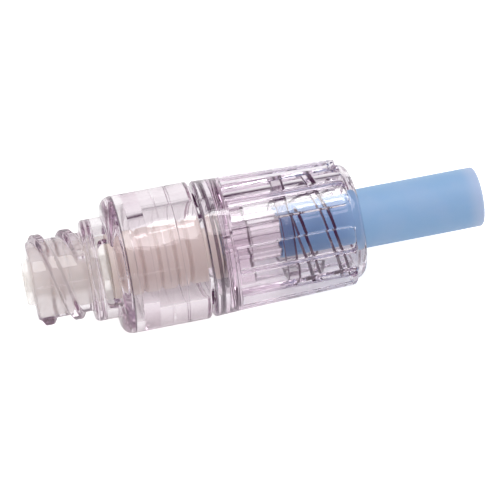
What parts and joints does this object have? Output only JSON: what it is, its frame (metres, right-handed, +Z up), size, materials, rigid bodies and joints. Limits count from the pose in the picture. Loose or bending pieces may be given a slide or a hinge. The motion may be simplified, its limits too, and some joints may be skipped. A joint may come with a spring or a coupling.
{
  "type": "needle free connector",
  "caption": "Clear needle free connector with a threaded female luer and slit valve head, a vented neck and barrel, a ribbed spin locking collar and a blue cap on its male luer.",
  "frame": {"origin": "centre of the rim of the female luer mouth", "axes": "+X along the connector towards the capped male luer, +Z up with the connector lying on its side"},
  "size_m": [0.0399, 0.0119, 0.0118],
  "materials": {
    "clear_plastic": "gloss",
    "lilac_plastic": "gloss",
    "frosted_silicone": "satin",
    "beige_silicone": "satin",
    "blue_plastic": "satin"
  },
  "bodies": {
    "connector": {"front_housing": "clear_plastic", "outlet_base": "clear_plastic", "return_boot": "beige_silicone"},
    "valve": {"valve_head": "frosted_silicone"},
    "collar": {"locking_collar": "lilac_plastic"},
    "cap": {"tip_cap": "blue_plastic"}
  },
  "joints": [
    {"name": "valve_press", "type": "slide", "parent": "connector", "child": "valve", "axis": [1, 0, 0], "range_m": [0, 0.0055], "stiffness_N_per_m": 300, "springref_m": -0.003, "deforming": ["return_boot"]},
    {"name": "collar_spin", "type": "hinge", "parent": "connector", "child": "collar", "pos_m": [0.0157, 0, 0], "axis": [1, 0, 0], "continuous": true},
    {"name": "cap_pull", "type": "slide", "parent": "connector", "child": "cap", "axis": [1, 0, 0], "range_m": [0, 0.01]}
  ]
}
